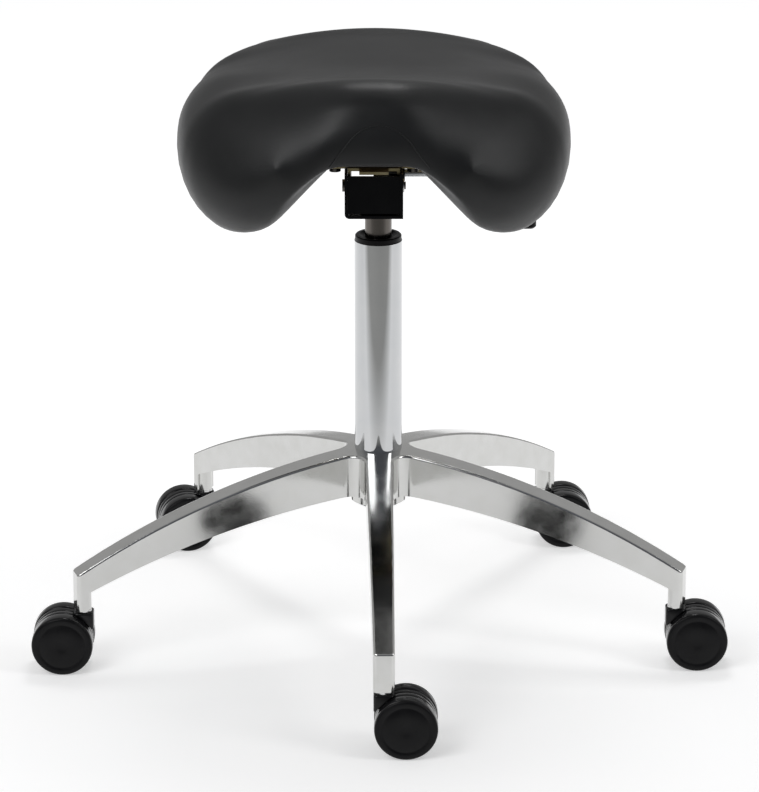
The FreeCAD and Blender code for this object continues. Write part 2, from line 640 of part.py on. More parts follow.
# Gas lever: a bent rod that rocks in a bell-mouthed bush and presses the valve pin
bush_mid = right - BOX_WALL / 2
bush_half = 3.5
gas_bush = cross_rod(GAS_BUSH_R, bush_mid - bush_half, bush_mid + bush_half, (0, GAS_LEVER_Z))
gas_bush = gas_bush.fuse(cross_rod(GAS_BUSH_R + 2, right, bush_mid + bush_half, (0, GAS_LEVER_Z)))
mouth = turned([(0, -bush_half - 1), (LEVER_R + 0.7, -bush_half - 1), (LEVER_R + RUN, 0),
                (LEVER_R + 0.7, bush_half + 1), (0, bush_half + 1)])
mouth.rotate(V(0, 0, 0), V(0, 1, 0), 90)
mouth.translate(V(bush_mid, 0, GAS_LEVER_Z))
save("gas_lever_bush", gas_bush.removeSplitter().cut(mouth))

gas_low = GAS_LEVER_Z - GAS_DROP
gas_run = GAS_DROP / tan(radians(LEVER_SLOPE))
gas_lever = bent_rod(LEVER_R, [
    (-5, 0, GAS_LEVER_Z), (GAS_CORNER, 0, GAS_LEVER_Z),
    (GAS_CORNER + gas_run, 0, gas_low), (LEVER_OUT, 0, gas_low)], LEVER_BEND_R)
save("gas_lever", gas_lever)
save("gas_lever_grip", make_grip(grip_in, grip_out, 0.0, gas_low, (-1, -GRIP_OVER)))


# Seat plate with its two ears, bolts, board and tee nuts

plate_top = PLATE_LOW + PLATE_THICK
nose_back = PIVOT[0] + 2.0
plate = block(MECH_X - PLATE_HALF, MECH_X + PLATE_HALF, nose_back, PLATE_BACK, PLATE_LOW, plate_top)
nose = block(MECH_X - NOSE_HALF, MECH_X + NOSE_HALF, NOSE_FRONT, nose_back + 1, PLATE_LOW, plate_top)
shoulder = block(MECH_X - ear_out, MECH_X + ear_out, PIVOT[0] - EAR_HALF, nose_back + 1,
                 PLATE_LOW, plate_top)
slot_r = sqrt((LOCK[0] - PIVOT[0]) ** 2 + (LOCK[1] - PIVOT[1]) ** 2)
slot_start = atan2(LOCK[1] - PIVOT[1], LOCK[0] - PIVOT[0])
ear_low = PIVOT[1] - 1.25 * EAR_HALF
band_low = PLATE_LOW - 0.75 * EAR_HALF
slot_low = LOCK[1] - slot_r * sin(radians(TILT_MOST))
ear_points = [
    (PIVOT[0] - EAR_HALF, plate_top - 1), (PIVOT[0] - EAR_HALF, ear_low + EAR_HALF / 2),
    (PIVOT[0] - EAR_HALF / 2, ear_low), (PIVOT[0] + EAR_HALF, ear_low),
    (PIVOT[0] + 2.5 * EAR_HALF, band_low), (LOCK[0] - 3 * EAR_HALF, band_low),
    (LOCK[0] - EAR_HALF, slot_low), (LOCK[0] - EAR_HALF / 2, slot_low - EAR_HALF),
    (LOCK[0] + EAR_HALF / 2, slot_low - EAR_HALF), (LOCK[0] + EAR_HALF, slot_low),
    (LOCK[0] + 1.5 * EAR_HALF, band_low), (LOCK[0] + 1.5 * EAR_HALF, plate_top - 1),
]


def on_slot(turn, radius):
    a = slot_start - radians(turn)
    return V(0, PIVOT[0] + radius * cos(a), PIVOT[1] + radius * sin(a))


def arc_slot(half):
    tip = degrees(half / slot_r)
    outer_r = slot_r + half
    inner_r = slot_r - half
    stops = [
        [(0, outer_r), (TILT_MOST / 2, outer_r), (TILT_MOST, outer_r)],
        [(TILT_MOST, outer_r), (TILT_MOST + tip, slot_r), (TILT_MOST, inner_r)],
        [(TILT_MOST, inner_r), (TILT_MOST / 2, inner_r), (0, inner_r)],
        [(0, inner_r), (-tip, slot_r), (0, outer_r)],
    ]
    edges = [Part.Arc(*[on_slot(turn, radius) for turn, radius in three]).toShape() for three in stops]
    face = Part.Face(Part.Wire(edges))
    face.translate(V(left, 0, 0))
    return face.extrude(V(right - left, 0, 0))


ears = [side_plate(ear_points, MECH_X + ear_in, MECH_X + ear_out),
        side_plate(ear_points, MECH_X - ear_out, MECH_X - ear_in)]
plate = plate.fuse([nose, shoulder] + ears).removeSplitter()
plate = plate.cut(cross_rod(BOLT_R + RUN, left, right, PIVOT))
plate = plate.cut(arc_slot(BOLT_R + 0.3))
bolt_places = [(MECH_X + sx * SEAT_BOLT_X, y) for sx in (-1, 1) for y in SEAT_BOLT_Y]
plate = plate.cut(Part.makeCompound(
    [rod(SEAT_BOLT_R + 0.25, PLATE_LOW - 1, plate_top + 1, x, y) for x, y in bolt_places]))
save("seat_plate", plate)

board_top = BOARD_LOW + BOARD_THICK
bolts = []
tee_nuts = []
board = block(MECH_X - BOARD_HALF, MECH_X + BOARD_HALF, BOARD_FRONT, BOARD_BACK, BOARD_LOW, board_top)
for x, y in bolt_places:
    head = rod(6.0, PLATE_LOW - 4.0, PLATE_LOW, x, y)
    bolts.append(head.fuse(rod(SEAT_BOLT_R, PLATE_LOW - 1, board_top - 1, x, y)).removeSplitter())
    barrel = rod(NUT_R, board_top - NUT_DEEP, board_top + 0.5, x, y)
    flange = rod(NUT_FLANGE_R, board_top, board_top + NUT_FLANGE, x, y)
    thread = rod(SEAT_BOLT_R + SNUG, board_top - NUT_DEEP - 1, board_top + 2, x, y)
    tee_nuts.append(barrel.fuse(flange).removeSplitter().cut(thread))
    board = board.cut(rod(SEAT_BOLT_R + 0.25, BOARD_LOW - 1, board_top + 1, x, y))
    board = board.cut(rod(NUT_R + SNUG, board_top - NUT_DEEP - 0.2, board_top + 1, x, y))
save("seat_bolts", Part.makeCompound(bolts))
save("tee_nuts", Part.makeCompound(tee_nuts))
save("seat_board", board)


# Saddle cushion: sections of tangent arcs, joined from front to back

def arc_edge(centre, r, a0, a1, side, y):
    points = []
    for t in (0.0, 0.5, 1.0):
        a = a0 + (a1 - a0) * t
        points.append(V(MECH_X + side * (centre[0] + r * cos(a)), y, centre[1] + r * sin(a)))
    return Part.Arc(points[0], points[1], points[2]).toShape()


def saddle_side(section, side):
    y, top, half, widest, shoulder_r, foot_x, foot_z, foot_r, arch, flank, toe = section
    top, widest, foot_z, arch = [BOX_TOP + z for z in (top, widest, foot_z, arch)]
    rise = top - widest
    crown_r = (half ** 2 + rise ** 2 - 2 * half * shoulder_r) / (2 * (rise - shoulder_r))
    crown = (0, top - crown_r)
    shoulder_at = (half - shoulder_r, widest)
    turn = atan2(shoulder_at[1] - crown[1], shoulder_at[0] - crown[0])
    inward = half - foot_x
    fall = widest - foot_z
    flap_r = (inward ** 2 + fall ** 2 - 2 * fall * foot_r) / (2 * (inward - foot_r))
    flap = (half - flap_r, widest)
    foot = (foot_x, foot_z + foot_r)
    if flap_r > foot_r:
        down = atan2(foot[1] - flap[1], foot[0] - flap[0])
    else:
        down = atan2(flap[1] - foot[1], flap[0] - foot[0])
    slope = radians(flank)
    across = foot_x - ARCH_FLAT
    reach = (across * tan(slope) - (arch - foot_z)) / (1 / cos(slope) - 1)
    straight = (across - reach * sin(slope)) / cos(slope)
    arch_r = reach - toe
    toe_at = (foot_x, foot_z + toe)
    toe_end = (toe_at[0] - toe * sin(slope), toe_at[1] - toe * cos(slope))
    flank_end = (toe_end[0] - straight * cos(slope), toe_end[1] + straight * sin(slope))

    def point(p):
        return V(MECH_X + side * p[0], y, p[1])

    return [
        arc_edge(crown, crown_r, pi / 2, turn, side, y),
        arc_edge(shoulder_at, shoulder_r, turn, 0, side, y),
        arc_edge(flap, flap_r, 0, down, side, y),
        arc_edge(foot, foot_r, down, -pi / 2, side, y),
        arc_edge(toe_at, toe, -pi / 2, -pi / 2 - slope, side, y),
        Part.makeLine(point(toe_end), point(flank_end)),
        arc_edge((ARCH_FLAT, arch - arch_r), arch_r, pi / 2 - slope, pi / 2, side, y),
    ]


def saddle_wire(section):
    edges = saddle_side(section, 1)
    other = saddle_side(section, -1)
    y, arch = section[0], BOX_TOP + section[8]
    crown = Part.makeLine(V(MECH_X + ARCH_FLAT, y, arch), V(MECH_X - ARCH_FLAT, y, arch))
    return Part.Wire(edges + [crown] + other[::-1])


def ease(places, values, at):
    steps = [b - a for a, b in zip(places, places[1:])]
    slopes = [(b - a) / step for a, b, step in zip(values, values[1:], steps)]
    bends = [slopes[0]]
    for one, two in zip(slopes, slopes[1:]):
        bends.append(2 * one * two / (one + two) if one * two > 0 else 0.0)
    bends.append(slopes[-1])
    i = min(sum(1 for place in places[1:] if place < at), len(steps) - 1)
    t = (at - places[i]) / steps[i]
    lift = bends[i] * t * (1 - t) ** 2 - bends[i + 1] * t * t * (1 - t)
    return values[i] + (values[i + 1] - values[i]) * t * t * (3 - 2 * t) + lift * steps[i]


def saddle_sections():
    columns = list(zip(*SADDLE))
    places = columns[0]
    stops = [places[0]]
    for a, b in zip(places, places[1:]):
        for i in range(1, SECTIONS_BETWEEN + 2):
            stops.append(a + (b - a) * i / (SECTIONS_BETWEEN + 1))
    return [[y] + [ease(places, column, y) for column in columns[1:]] for y in stops]


def front_panel():
    front = SADDLE[0][0]
    low = BOX_TOP + SADDLE[0][8] - PANEL_HALF / 4
    ends = [V(MECH_X + side * PANEL_HALF, front - 1, low) for side in (-1, 1)]
    seam = Part.Arc(ends[0], V(MECH_X, front - 1, BOX_TOP + PANEL_HIGH), ends[1]).toShape()
    face = Part.Face(Part.Wire([seam, Part.makeLine(ends[1], ends[0])]))
    return face.extrude(V(0, 1 + PANEL_DEEP, 0))


saddle = Part.makeLoft([saddle_wire(s) for s in saddle_sections()], True, True)
saddle = saddle.cut(front_panel())
pocket = block(MECH_X - BOARD_HALF - POCKET, MECH_X + BOARD_HALF + POCKET, BOARD_FRONT - POCKET,
               BOARD_BACK + POCKET, 0.0, board_top + FACE)
saddle = saddle.cut(pocket)
flange_top = board_top + NUT_FLANGE + POCKET
saddle = saddle.cut(Part.makeCompound(
    [rod(NUT_FLANGE_R + POCKET, board_top - 1, flange_top, x, y) for x, y in bolt_places]))
save("seat_cushion", saddle)
print("saddle", saddle.isValid(), len(saddle.Solids), round(saddle.Volume / 1000), "cm3")
print("star", star.isValid(), len(star.Solids), round(star.Volume / 1000), "cm3")
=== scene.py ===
import json
from math import atan2, cos, pi, radians, sin, sqrt, tan

import bmesh
import bpy
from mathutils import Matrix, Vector
from mathutils.bvhtree import BVHTree


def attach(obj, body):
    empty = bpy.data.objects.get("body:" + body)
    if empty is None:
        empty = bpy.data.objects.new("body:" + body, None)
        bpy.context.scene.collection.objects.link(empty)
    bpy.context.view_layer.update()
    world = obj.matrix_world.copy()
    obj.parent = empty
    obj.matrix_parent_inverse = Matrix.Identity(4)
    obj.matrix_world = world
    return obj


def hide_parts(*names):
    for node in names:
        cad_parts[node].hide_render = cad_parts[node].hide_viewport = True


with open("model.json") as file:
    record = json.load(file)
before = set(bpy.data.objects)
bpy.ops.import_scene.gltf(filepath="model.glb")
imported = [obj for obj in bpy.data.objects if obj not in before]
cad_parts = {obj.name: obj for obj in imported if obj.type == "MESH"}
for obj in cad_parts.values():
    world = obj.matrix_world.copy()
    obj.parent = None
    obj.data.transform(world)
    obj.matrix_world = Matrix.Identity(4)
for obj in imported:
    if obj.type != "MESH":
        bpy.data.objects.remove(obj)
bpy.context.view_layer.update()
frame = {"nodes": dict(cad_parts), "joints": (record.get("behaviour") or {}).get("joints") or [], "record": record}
nodes = frame["nodes"]

MM = 0.001

# Camera at the photograph's place: straight in front, looking down on the stool
CAMERA_AT = (1.25, -4094.3, 1652.8)
CAMERA_DOWN = 18.738
CAMERA_LENS = 186.48

# Area lights: name, place, size and power; all aim at the middle of the stool
LIGHTS = [
    ("key", (-1.2, -1.5, 1.7), (1.2, 1.2), 18),
    ("fill", (1.7, -0.9, 1.5), (0.5, 1.6), 10),
    ("top", (0.1, 0.9, 2.3), (0.7, 0.5), 10),
]
LIGHT_AIM = (0, 0, 0.5)

# Floor and world, grey on the camera's side and pale behind
FLOOR_HALF = 6000.0
FLOOR_GREY = (0.30, 0.30, 0.29)
FLOOR_PALE = (0.80, 0.80, 0.80)
FLOOR_TURNS = (-0.95, -0.5)
GLOW_NEAR = 0.5
GLOW_FAR = 0.85
GLOW_TURNS = (-0.2, 1.2)
WORLD_GREY = (0.12, 0.125, 0.14)
WORLD_PALE = (0.42, 0.42, 0.42)
WORLD_TURNS = (-0.75, 0.1)

# Dark card over the stool
CARD_X = (-55, 65)
CARD_Y = (-250, 420)
CARD_Z = 1500


# Node materials

def new_material(name):
    mat = bpy.data.materials.new(name)
    mat.use_nodes = True
    tree = mat.node_tree
    shader = tree.nodes["Principled BSDF"]
    return mat, tree, shader


def add_node(tree, kind, **settings):
    node = tree.nodes.new(kind)
    for key, value in settings.items():
        if key.startswith("in_"):
            node.inputs[key[3:].replace("_", " ")].default_value = value
        else:
            setattr(node, key, value)
    return node


def link(tree, a, a_out, b, b_in):
    tree.links.new(a.outputs[a_out], b.inputs[b_in])


def noise(tree, coords, scale, detail=3.0, rough=0.5, stretch=(1, 1, 1)):
    mapping = add_node(tree, "ShaderNodeMapping")
    mapping.inputs["Scale"].default_value = stretch
    link(tree, coords, "Object", mapping, "Vector")
    node = add_node(tree, "ShaderNodeTexNoise", in_Scale=scale, in_Detail=detail, in_Roughness=rough)
    link(tree, mapping, "Vector", node, "Vector")
    return node


def ramp(tree, source, low, high, out_low, out_high, output="Fac"):
    node = add_node(tree, "ShaderNodeMapRange")
    node.inputs["From Min"].default_value = low
    node.inputs["From Max"].default_value = high
    node.inputs["To Min"].default_value = out_low
    node.inputs["To Max"].default_value = out_high
    link(tree, source, output, node, "Value")
    return node


def blend_colour(tree, fac, a, b, output="Result"):
    node = add_node(tree, "ShaderNodeMix", data_type="RGBA")
    node.inputs[6].default_value = (*a, 1)
    node.inputs[7].default_value = (*b, 1)
    tree.links.new(fac.outputs[output], node.inputs[0])
    return node


def surface(name, colour, colour2, rough, rough2, metal=0.0, wave=40.0, grain=1500.0, bump=0.02,
            depth=0.0003, stretch=(1, 1, 1), specular=0.5):
    """Two-tone surface with patchy roughness and a fine grain in its bump."""
    mat, tree, shader = new_material(name)
    coords = add_node(tree, "ShaderNodeTexCoord")
    patches = noise(tree, coords, wave, 4.0, 0.55, stretch)
    tone = ramp(tree, patches, 0.35, 0.65, 0.0, 1.0)
    mix = blend_colour(tree, tone, colour, colour2)
    tree.links.new(mix.outputs[2], shader.inputs["Base Color"])
    gloss = ramp(tree, patches, 0.3, 0.7, rough, rough2)
    link(tree, gloss, "Result", shader, "Roughness")
    fine = noise(tree, coords, grain, 2.0, 0.6, stretch)
    bumps = add_node(tree, "ShaderNodeBump", in_Strength=bump, in_Distance=depth)
    link(tree, fine, "Fac", bumps, "Height")
    link(tree, bumps, "Normal", shader, "Normal")
    shader.inputs["Metallic"].default_value = metal
    shader.inputs["Specular IOR Level"].default_value = specular
    return mat


saddle_skin = surface("saddle_skin", (0.008, 0.0085, 0.009), (0.011, 0.0115, 0.012), 0.36, 0.44, wave=14,
                      grain=1100, bump=0.25, depth=0.00025, specular=0.3)
paint = surface("box_paint", (0.004, 0.0042, 0.005), (0.006, 0.0062, 0.007), 0.10, 0.16, wave=60,
                grain=260, bump=0.08, depth=0.0004, specular=0.08)
# Yellow zinc, its colour darkened far below bright zinc: painted shade of the cushion that hangs over the seat
# plate
zinc = surface("yellow_zinc", (0.24, 0.20, 0.10), (0.32, 0.28, 0.17), 0.25, 0.38, metal=1.0, wave=55,
               grain=900, bump=0.05)
chrome = surface("chrome", (0.56, 0.57, 0.58), (0.59, 0.595, 0.60), 0.03, 0.06, metal=1.0, wave=30,
                 grain=500, bump=0.01)
aluminium = surface("polished_aluminium", (0.60, 0.60, 0.585), (0.64, 0.64, 0.63), 0.10, 0.17, metal=1.0,
                    wave=45, grain=700, bump=0.03)
nylon = surface("black_nylon", (0.004, 0.004, 0.0045), (0.006, 0.006, 0.0065), 0.30, 0.42, wave=70,
                grain=1800, bump=0.12, specular=0.15)
tread = surface("castor_tread", (0.006, 0.006, 0.0065), (0.009, 0.009, 0.0095), 0.12, 0.20, wave=70,
                grain=1500, bump=0.05, specular=0.22)
dark_steel = surface("dark_steel", (0.11, 0.10, 0.092), (0.16, 0.147, 0.135), 0.18, 0.28, metal=1.0,
                     wave=50, grain=900, bump=0.04, stretch=(1, 1, 0.1))
bright_steel = surface("bright_steel", (0.60, 0.60, 0.60), (0.68, 0.68, 0.67), 0.18, 0.28, metal=1.0,
                       wave=80, grain=900, bump=0.04)
grey_rod = surface("grey_rod", (0.34, 0.35, 0.36), (0.42, 0.43, 0.44), 0.28, 0.38, metal=1.0, wave=60,
                   grain=900, bump=0.04)
rubber = surface("buffer_rubber", (0.02, 0.02, 0.02), (0.03, 0.03, 0.03), 0.6, 0.75, wave=60, grain=900,
                 bump=0.1)
wood = surface("board_wood", (0.42, 0.28, 0.15), (0.56, 0.40, 0.24), 0.5, 0.65, wave=18, grain=300,
               bump=0.15, stretch=(1, 0.06, 6))

BY_SLOT = {
    "saddle_foam": saddle_skin, "black_paint": paint, "yellow_zinc": zinc, "chrome": chrome,
    "dark_steel": dark_steel, "aluminium": aluminium, "black_nylon": nylon, "bright_steel": bright_steel,
    "piston_metal": bright_steel, "grey_rod": grey_rod, "buffer_rubber": rubber, "board_wood": wood,
}


def dress(obj, mat):
    obj.data.materials.clear()
    obj.data.materials.append(mat)


slot_of = {p["node"]: p["material_slot"] for p in frame["record"]["subparts"]}
for name, node in nodes.items():
    dress(node, BY_SLOT[slot_of[name]])


# Mesh helpers

def mesh_piece(name, points, faces, mat):
    """A smooth-shaded mesh object from points in millimetres."""
    mesh = bpy.data.meshes.new(name)
    mesh.from_pydata([Vector(p) * MM for p in points], [], faces)
    mesh.validate()
    obj = bpy.data.objects.new(name, mesh)
    bpy.context.scene.collection.objects.link(obj)
    mesh.materials.append(mat)
    for poly in mesh.polygons:
        poly.use_smooth = True
    return obj


# Saddle cushion: the solid's sections, with rounded ends, and with the lobes drawn back in front

SEAT_X = -4.5
ARCH_FLAT = 30.0
CROWN_STEPS = 20
SHOULDER_STEPS = 14
TURN_STEPS = 6
TOE_STEPS = 5
FLAT_STEPS = 4
RING_GAP = 5
END_ROWS = 10
FRONT_SWELL = 4.0
BACK_SWELL = 3.0
SWELL_SPAN = 30

# Drawing back: where it ends in y, how far it goes, from where across and how far off the arch
ARCH_EDGE = [(0, 554), (30, 554), (110, 490)]
BACK_TO = -40.0
BACK_MOST = 34.0
BACK_ACROSS = (15, 85)
BACK_OFF = (28, 110)
BACK_CURVE = 1.5

# Smoothing of the lobes' fronts
SMOOTH_ROUNDS = 16
SMOOTH_PULL = 0.6
SMOOTH_AHEAD = (80, 125)
SMOOTH_ACROSS = (30, 80)

# Seam round the front panel, as x and z seen from the front
SEAM = [(-48.6, 555.3), (-38, 571), (-26.5, 585.5), (-15.7, 594.0), (-0.2, 598.3), (15.0, 594.8),
        (29.6, 584.2), (41.5, 567.9), (51.5, 555.3)]
SEAM_R = 0.6
SEAM_PROUD = 0.25
SEAM_STEPS = 60
SEAM_SIDES = 8
BEFORE_SEAT = -400

# Sections: y, top, half width and its height, shoulder radius, foot x and z, foot radius,
# arch height, flank angle, toe radius
SADDLE = [
    (-150, 598, 100, 552, 30, 74, 533, 34, 556, 38, 8),
    (-143, 614, 130, 545, 45, 97, 517, 38, 554, 42, 14),
    (-130, 627, 156, 538, 60, 108, 497, 54, 552, 46, 20),
    (-112, 634, 175, 533, 74, 115, 480, 66, 549, 48, 28),
    (-80, 629, 192, 536, 78, 134, 467, 46, 546, 50, 34),
    (-45, 623, 200, 541, 70, 138, 463, 44, 543, 50, 34),
    (0, 620, 203, 546, 67, 146, 478, 40, 541, 44, 32),
    (45, 623, 202, 545, 64, 148, 486, 36, 541, 39, 28),
    (80, 626, 195, 547, 60, 146, 492, 34, 541, 35, 26),
    (108, 628, 183, 557, 54, 138, 502, 29, 542, 31, 24),
    (130, 630, 160, 562, 53, 122, 518, 22, 546, 26, 16),
    (147, 619, 136, 572, 39, 106, 534, 15, 550, 18, 11),
    (156, 598, 110, 576, 18, 90, 551, 8, 556, 7, 6),
]


def arc(centre, r, a0, a1, n):
    """Points of an arc without its last one, which the next piece brings."""
    steps = [a0 + (a1 - a0) * i / n for i in range(n)]
    return [(centre[0] + r * cos(a), centre[1] + r * sin(a)) for a in steps]


def section_half(section):
    """Half of one saddle section from the top to the arch, as (x, z) points."""
    _, top, half, widest, shoulder_r, foot_x, foot_z, foot_r, arch, flank, toe = section
    rise = top - widest
    crown_r = (half ** 2 + rise ** 2 - 2 * half * shoulder_r) / (2 * (rise - shoulder_r))
    shoulder = (half - shoulder_r, widest)
    turn = atan2(shoulder[1] - top + crown_r, shoulder[0])
    inward = half - foot_x
    fall = widest - foot_z
    flap_r = (inward ** 2 + fall ** 2 - 2 * fall * foot_r) / (2 * (inward - foot_r))
    flap = (half - flap_r, widest)
    foot = (foot_x, foot_z + foot_r)
    if flap_r > foot_r:
        down = atan2(foot[1] - flap[1], foot[0] - flap[0])
    else:
        down = atan2(flap[1] - foot[1], flap[0] - foot[0])
    slope = radians(flank)
    across = foot_x - ARCH_FLAT
    reach = (across * tan(slope) - (arch - foot_z)) / (1 / cos(slope) - 1)
    straight = (across - reach * sin(slope)) / cos(slope)
    arch_r = reach - toe
    points = arc((0, top - crown_r), crown_r, pi / 2, turn, CROWN_STEPS)
    points += arc(shoulder, shoulder_r, turn, 0, SHOULDER_STEPS)
    points += arc(flap, flap_r, 0, down, TURN_STEPS)
    points += arc(foot, foot_r, down, -pi / 2, TURN_STEPS)
    points += arc((foot_x, foot_z + toe), toe, -pi / 2, -pi / 2 - slope, TOE_STEPS)
    end = (foot_x - toe * sin(slope), foot_z + toe - toe * cos(slope))
    for i in range(TURN_STEPS):
        t = i / TURN_STEPS
        points.append((end[0] - straight * cos(slope) * t, end[1] + straight * sin(slope) * t))
    points += arc((ARCH_FLAT, arch - arch_r), arch_r, pi / 2 - slope, pi / 2, TURN_STEPS)
    for i in range(FLAT_STEPS + 1):
        points.append((ARCH_FLAT * (1 - i / FLAT_STEPS), arch))
    return points


def slope_at(table, i, c):
    """Slope of one column of a table at one of its rows."""
    ys = [row[0] for row in table]
    if i == 0 or i == len(ys) - 1:
        j = min(i, len(ys) - 2)
        return (table[j + 1][c] - table[j][c]) / (ys[j + 1] - ys[j])
    left = (table[i][c] - table[i - 1][c]) / (ys[i] - ys[i - 1])
    right = (table[i + 1][c] - table[i][c]) / (ys[i + 1] - ys[i])
    a = ys[i] - ys[i - 1]
    b = ys[i + 1] - ys[i]
    return (left * b + right * a) / (a + b)


def ease(table, y):
    """Smooth value of every column of a table at a place between its rows."""
    ys = [row[0] for row in table]
    k = max(0, min(len(ys) - 2, sum(1 for v in ys if v <= y) - 1))
    h = ys[k + 1] - ys[k]
    t = (y - ys[k]) / h
    result = [y]
    for c in range(1, len(table[0])):
        p0 = table[k][c]
        p1 = table[k + 1][c]
        m0 = slope_at(table, k, c) * h
        m1 = slope_at(table, k + 1, c) * h
        value = (2 * t ** 3 - 3 * t ** 2 + 1) * p0 + (t ** 3 - 2 * t ** 2 + t) * m0
        value += (3 * t ** 2 - 2 * t ** 3) * p1 + (t ** 3 - t ** 2) * m1
        result.append(value)
    return result


def soft_step(value, low, high):
    """0 below low and 1 above high, smooth between them."""
    t = max(0.0, min(1.0, (value - low) / (high - low)))
    return t * t * (3 - 2 * t)


def off_arch(x, z):
    """Distance of a point of a section from the edge of the arch."""
    p = Vector((x, z))
    gaps = []
    for a, b in zip(ARCH_EDGE, ARCH_EDGE[1:]):
        a, b = Vector(a), Vector(b)
        t = max(0.0, min(1.0, (p - a).dot(b - a) / (b - a).length_squared))
        gaps.append((p - a.lerp(b, t)).length)
    return min(gaps)


def drawn_back(x, y, z):
    """Draws the front of the lobes back behind the roll that follows the arch."""
    deep = max(0.0, (BACK_TO - y) / (BACK_TO - SADDLE[0][0]))
    most = BACK_MOST * soft_step(x, *BACK_ACROSS) * soft_step(off_arch(x, z), *BACK_OFF)
    return y + most * deep ** BACK_CURVE


def saddle_ring(section):
    """The whole outline of one section, from its top down the right side and up the left."""
    y = section[0]
    half = [(x, drawn_back(x, y, z), z) for x, z in section_half(section)]
    right = [(SEAT_X + x, back, z) for x, back, z in half]
    left = [(SEAT_X - x, back, z) for x, back, z in half[1:-1]]
    return right + left[::-1]


def close_end(points, faces, first, side, sign, bulge):
    """Fills an end ring from its crown to its underside, with a soft bulge in the middle."""
    count = 2 * side - 2
    last = side // 2 - 2

    def along(j):
        return first + j % count

    columns = []
    for j in range(-last, last + 1):
        upper = along(j)
        lower = along(side - 1 - j) if j >= 0 else along(-(side - 1 + j))
        column = [upper]
        a, b = Vector(points[upper]), Vector(points[lower])
        swell = bulge * min(1.0, (a - b).length / SWELL_SPAN)
        for v in range(1, END_ROWS):
            t = v / END_ROWS
            p = a.lerp(b, t)
            p.y += sign * swell * sin(pi * t)
            column.append(len(points))
            points.append(tuple(p))
        column.append(lower)
        columns.append(column)
    for left, right in zip(columns, columns[1:]):
        for v in range(END_ROWS):
            quad = (left[v], left[v + 1], right[v + 1], right[v])
            faces.append(quad if sign < 0 else quad[::-1])
    for way, column in ((1, columns[-1]), (-1, columns[0])):
        loop = column + [along(way * (last + 2)), along(way * (last + 1))]
        faces.append(tuple(loop if way * sign < 0 else loop[::-1]))


def smooth_front(points, faces):
    """Evens out the lobes' fronts, and leaves the middle, the sides and the back as they are."""
    around = [set() for _ in points]
    for face in faces:
        for a, b in zip(face, face[1:] + face[:1]):
            around[a].add(b)
            around[b].add(a)
    around = [sorted(near) for near in around]
    spots = [Vector(p) for p in points]
    pull = []
    for p in spots:
        ahead = soft_step(-p.y, *SMOOTH_AHEAD)
        pull.append(SMOOTH_PULL * ahead * soft_step(abs(p.x - SEAT_X), *SMOOTH_ACROSS))
    for _ in range(SMOOTH_ROUNDS):
        moved = list(spots)
        for i, near in enumerate(around):
            if pull[i] > 0 and near:
                middle = sum((spots[n] for n in near), Vector()) / len(near)
                moved[i] = spots[i].lerp(middle, pull[i])
        spots = moved
    points[:] = [tuple(p) for p in spots]


def make_saddle():
    stations = []
    for i in range(len(SADDLE) - 1):
        y0 = SADDLE[i][0]
        y1 = SADDLE[i + 1][0]
        parts = max(2, round((y1 - y0) / RING_GAP))
        stations += [y0 + (y1 - y0) * j / parts for j in range(parts)]
    stations.append(SADDLE[-1][0])
    rings = [saddle_ring(ease(SADDLE, y)) for y in stations]
    count = len(rings[0])
    side = count // 2 + 1
    points = [p for ring in rings for p in ring]
    faces = []
    for i in range(len(rings) - 1):
        for j in range(count):
            a = i * count + j
            b = i * count + (j + 1) % count
            faces.append((a, b, b + count, a + count))
    close_end(points, faces, 0, side, -1, FRONT_SWELL)
    close_end(points, faces, (len(rings) - 1) * count, side, 1, BACK_SWELL)
    smooth_front(points, faces)
    add_seam(points, faces)
    return mesh_piece("saddle_cushion", points, faces, saddle_skin)


def seam_line():
    """A smooth curve through the seam's points."""
    table = [(i, x, z) for i, (x, z) in enumerate(SEAM)]
    last = len(SEAM) - 1
    return [ease(table, last * i / SEAM_STEPS)[1:] for i in range(SEAM_STEPS + 1)]


def add_seam(points, faces):
    """Lays the seam's bead on the saddle's front face."""
    skin = BVHTree.FromPolygons([Vector(p) for p in points], faces)
    line = []
    for x, z in seam_line():
        hit = skin.ray_cast(Vector((x, BEFORE_SEAT, z)), Vector((0, 1, 0)))[0]
        if hit is not None:
            line.append(hit + Vector((0, -SEAM_PROUD, 0)))
    first = len(points)
    for i, p in enumerate(line):
        ahead = (line[min(i + 1, len(line) - 1)] - line[max(i - 1, 0)]).normalized()
        out = Vector((0, -1, 0)).cross(ahead).normalized()
        for k in range(SEAM_SIDES):
            a = 2 * pi * k / SEAM_SIDES
            points.append(tuple(p + SEAM_R * (out * cos(a) + ahead.cross(out) * sin(a))))
    for i in range(len(line) - 1):
        for k in range(SEAM_SIDES):
            a = first + i * SEAM_SIDES + k
            b = first + i * SEAM_SIDES + (k + 1) % SEAM_SIDES
            faces.append((a, b, b + SEAM_SIDES, a + SEAM_SIDES))
    faces.append(tuple(range(first, first + SEAM_SIDES))[::-1])
    faces.append(tuple(range(len(points) - SEAM_SIDES, len(points))))


saddle = make_saddle()
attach(saddle, "seat")
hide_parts("seat_cushion")


# Castors: turned wheels with a ringed face and a rounded tread, between them a grooved hood

